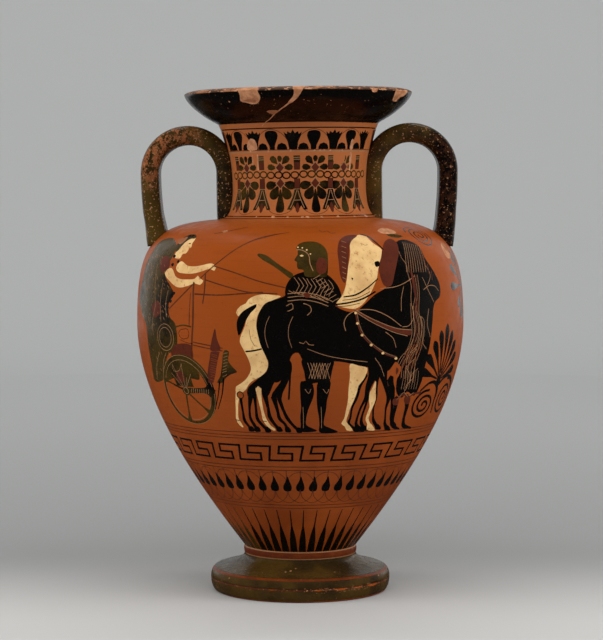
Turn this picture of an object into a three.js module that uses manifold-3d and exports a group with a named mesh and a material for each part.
// A neck amphora of fired clay: an ovoid body on a moulded foot, a flared neck with a wide mouth, and two reeded
// strap handles. It is thrown and joined as one hollow piece. Millimetres, +Z up, resting ring at z = 0, and the
// handles lie along X.
import * as THREE from "three";
import { mergeVertices } from "three/addons/utils/BufferGeometryUtils.js";
import Module from "manifold-3d";

// Heights of the joints between the thrown parts
const HEIGHT = 412;
const FOOT_EDGE_Z = 19.7;
const FOOT_TOP_Z = 30.8;
const RING_TOP_Z = 37;
const BELLY_Z = 222.5;
const SHOULDER_TOP_Z = 306.7;
const NECK_BASE_Z = 311.7;
const NECK_TOP_Z = 385.3;
const LIP_Z = 409.3;

// Outer radii at those heights
const RESTING_RADIUS = 70;
const FOOT_EDGE_RADIUS = 68.5;
const STEM_RADIUS = 46.1;
const RING_BULGE = 0.9;
const BELLY_RADIUS = 134.7;
const SHOULDER_TOP_RADIUS = 70;
const NECK_BASE_RADIUS = 61;
const NECK_TOP_RADIUS = 66;
const LIP_RADIUS = 93.6;
const RIM_RADIUS = 88.2;

// Walls and hollows
const BODY_WALL = 6;
const NECK_WALL = 6.5;
const RIM_WIDTH = 9;
const FLOOR_Z = 46;
const RESTING_RING_INNER_RADIUS = 54;
const UNDERSIDE_DEPTH = 15;

// The neck and mouth were set on slightly askew: they lean towards -X
const LEAN_DEGREES = 0.8;
const LEAN_PIVOT_Z = 280;
const LEAN_START_Z = 300;
const LEAN_BLEND = 15;

// Handles: three reeds side by side outside, flat inside
const HANDLE_ARCH_RADIUS = 31;
const HANDLE_ARCH_X = 91.2;
const HANDLE_ARCH_Z = 345.6;
const HANDLE_FOOT_X = 116.5;
const HANDLE_FOOT_Z = 284;
const HANDLE_ROOT_Z = 302;
const REED_RADIUS = 7.8;
const REED_PITCH = 10.4;

// Fineness of the faceted surface
const OUTER_SEGMENTS = 60;
const INNER_SEGMENTS = 36;
const HANDLE_STEPS = 22;
const REED_STEPS = 3;

const fired_clay = new THREE.MeshStandardMaterial({
  color: 0xa8542c,
  roughness: 0.45,
  metalness: 0,
});

// One stretch of a profile: a cubic curve from start to end, leaving and arriving along the two handles.
function stretch(start, leaving, arriving, end, steps) {
  const [a, d] = [start, end].map(([r, z]) => new THREE.Vector2(r, z));
  const b = a.clone().add(new THREE.Vector2(...leaving));
  const c = d.clone().add(new THREE.Vector2(...arriving));
  return new THREE.CubicBezierCurve(a, b, c, d).getPoints(steps);
}

// Joined stretches without doubled points.
function chain(...stretches) {
  const points = stretches.flat();
  return points.filter((p, i) => i === 0 || p.distanceTo(points[i - 1]) > 0.05);
}

// The foot's edge is a full round, and its top falls away in a hollow curve from a low ring under the body.
function footStretches() {
  const edge = [FOOT_EDGE_RADIUS, FOOT_EDGE_Z];
  const ring_base = [STEM_RADIUS, FOOT_TOP_Z];
  return [
    stretch([RESTING_RADIUS, 0], [4.6, 1], [8.6, -0.7], edge, 6),
    stretch(edge, [-11.8, 2.3], [-0.6, -4.4], ring_base, 4),
    stretch(ring_base, [RING_BULGE, 1.5], [RING_BULGE, -1.5], [STEM_RADIUS, RING_TOP_Z], 4),
  ];
}

function bodyStretches() {
  return [
    stretch([STEM_RADIUS, RING_TOP_Z], [46.1, 60.1], [0, -59.6], [BELLY_RADIUS, BELLY_Z], 9),
    stretch([BELLY_RADIUS, BELLY_Z], [0, 60.2], [54.4, -4.1], [SHOULDER_TOP_RADIUS, SHOULDER_TOP_Z], 9),
  ];
}

function neckStretches() {
  return [stretch([NECK_BASE_RADIUS, NECK_BASE_Z], [-7.6, 9.7], [-9.3, -20.6], [NECK_TOP_RADIUS, NECK_TOP_Z], 6)];
}

function mouthStretches() {
  return [
    stretch([NECK_TOP_RADIUS, NECK_TOP_Z], [10.5, 4.6], [-1.6, -7.8], [LIP_RADIUS, LIP_Z], 6),
    stretch([LIP_RADIUS, LIP_Z], [0.3, 1.2], [2, -0.6], [RIM_RADIUS, HEIGHT], 3),
  ];
}

// The solid of revolution of a profile that starts and ends on the axis.
function revolve(points, segments) {
  return new THREE.LatheGeometry(points, segments);
}

function outerForm() {
  const surface = chain(
    [new THREE.Vector2(0, 0)],
    ...footStretches(),
    ...bodyStretches(),
    ...neckStretches(),
    ...mouthStretches(),
    [new THREE.Vector2(0, HEIGHT)],
  );
  return revolve(surface, OUTER_SEGMENTS);
}

// What is empty above the floor: the belly, the neck and the dished mouth, open past the rim.
function cavityForm() {
  const wide = [BELLY_RADIUS - BODY_WALL, BELLY_Z];
  const throat = [NECK_BASE_RADIUS - NECK_WALL - 1, NECK_BASE_Z + 6];
  const neck_top = [NECK_TOP_RADIUS - NECK_WALL - 1.5, NECK_TOP_Z];
  const rim = [RIM_RADIUS - RIM_WIDTH, HEIGHT - 1.5];
  const surface = chain(
    stretch([0, FLOOR_Z], [20, 0], [-8, -9], [STEM_RADIUS - 6, FLOOR_Z + 8], 4),
    stretch([STEM_RADIUS - 6, FLOOR_Z + 8], [40, 50], [0, -56], wide, 6),
    stretch(wide, [0, 55], [50, -4], [NECK_BASE_RADIUS - NECK_WALL + 8, SHOULDER_TOP_Z - BODY_WALL], 7),
    stretch(throat, [-4, 12], [-7, -22], neck_top, 4),
    stretch(neck_top, [3, 8], [-9, -5], rim, 3),
    [new THREE.Vector2(RIM_RADIUS - RIM_WIDTH + 1, HEIGHT + 2)],
    [new THREE.Vector2(0, HEIGHT + 2)],
  );
  return revolve(surface, INNER_SEGMENTS);
}

// The hollow under the foot, which leaves a flat resting ring.
function undersideForm() {
  const surface = chain(
    [new THREE.Vector2(0, -1)],
    [new THREE.Vector2(RESTING_RING_INNER_RADIUS, -1)],
    stretch([RESTING_RING_INNER_RADIUS, 0], [-4, 7], [22, 0], [0, UNDERSIDE_DEPTH], 4),
  );
  return revolve(surface, INNER_SEGMENTS);
}

// The line that a handle follows: up along the neck, over in a half circle, and down to the shoulder.
class HandleLine extends THREE.Curve {
  getPoint(t, target = new THREE.Vector3()) {
    const neck_leg = HANDLE_ARCH_Z - HANDLE_ROOT_Z;
    const arch = Math.PI * HANDLE_ARCH_RADIUS;
    const outer_leg = HANDLE_ARCH_Z - HANDLE_FOOT_Z;
    const along = t * (neck_leg + arch + outer_leg);
    if (along < neck_leg) {
      return target.set(HANDLE_ARCH_X - HANDLE_ARCH_RADIUS, 0, HANDLE_ROOT_Z + along);
    }
    if (along < neck_leg + arch) {
      const turn = Math.PI - (along - neck_leg) / HANDLE_ARCH_RADIUS;
      return target.set(
        HANDLE_ARCH_X + HANDLE_ARCH_RADIUS * Math.cos(turn),
        0,
        HANDLE_ARCH_Z + HANDLE_ARCH_RADIUS * Math.sin(turn),
      );
    }
    const down = (along - neck_leg - arch) / outer_leg;
    const shoulder_x = HANDLE_ARCH_X + HANDLE_ARCH_RADIUS;
    const x = THREE.MathUtils.lerp(shoulder_x, HANDLE_FOOT_X, down * down);
    return target.set(x, 0, THREE.MathUtils.lerp(HANDLE_ARCH_Z, HANDLE_FOOT_Z, down));
  }
}

// The strap's section: the reeds are arcs that meet in valleys, on the side away from the opening.
function handleSection() {
  const valley = Math.acos(REED_PITCH / 2 / REED_RADIUS);
  const section = new THREE.Shape();
  section.absarc(REED_PITCH, 0, REED_RADIUS, Math.PI / 2, valley - Math.PI, true);
  section.absarc(0, 0, REED_RADIUS, -valley, valley - Math.PI, true);
  section.absarc(-REED_PITCH, 0, REED_RADIUS, -valley, -1.5 * Math.PI, true);
  section.closePath();
  return section;
}

function handleForm() {
  return new THREE.ExtrudeGeometry(handleSection(), {
    steps: HANDLE_STEPS,
    curveSegments: REED_STEPS,
    extrudePath: new HandleLine(),
  });
}

// The lean of the neck and mouth, which pulls the tops of the handles with them.
function lean(geometry) {
  const slope = Math.sin(THREE.MathUtils.degToRad(LEAN_DEGREES));
  const position = geometry.getAttribute("position");
  for (let i = 0; i < position.count; i++) {
    const x = position.getX(i);
    const z = position.getZ(i);
    const share = THREE.MathUtils.smoothstep(z, LEAN_START_Z, LEAN_START_Z + LEAN_BLEND);
    position.setX(i, x - (z - LEAN_PIVOT_Z) * slope * share);
    position.setZ(i, z + x * slope * share);
  }
  return geometry;
}

const wasm = await Module();
wasm.setup();

function solid(geometry) {
  const bare = geometry.clone();
  bare.deleteAttribute("normal");
  bare.deleteAttribute("uv");
  const merged = mergeVertices(bare, 1e-3);
  return new wasm.Manifold(
    new wasm.Mesh({
      numProp: 3,
      vertProperties: merged.getAttribute("position").array,
      triVerts: new Uint32Array(merged.index.array),
    }),
  );
}

function geometryOf(shape) {
  const mesh = shape.getMesh();
  const geometry = new THREE.BufferGeometry();
  geometry.setAttribute("position", new THREE.BufferAttribute(mesh.vertProperties, 3));
  geometry.setIndex(new THREE.BufferAttribute(mesh.triVerts, 1));
  geometry.computeVertexNormals();
  return geometry;
}

const upright = (geometry) => geometry.rotateX(Math.PI / 2);

function amphora() {
  const right_handle = solid(handleForm());
  const left_handle = solid(handleForm().rotateZ(Math.PI));
  const clay = solid(upright(outerForm()))
    .add(right_handle)
    .add(left_handle)
    .subtract(solid(upright(cavityForm())))
    .subtract(solid(upright(undersideForm())));
  const mesh = new THREE.Mesh(lean(geometryOf(clay)), fired_clay);
  mesh.name = "amphora";
  return mesh;
}

const neck_amphora = new THREE.Group();
neck_amphora.add(amphora());

export default neck_amphora;
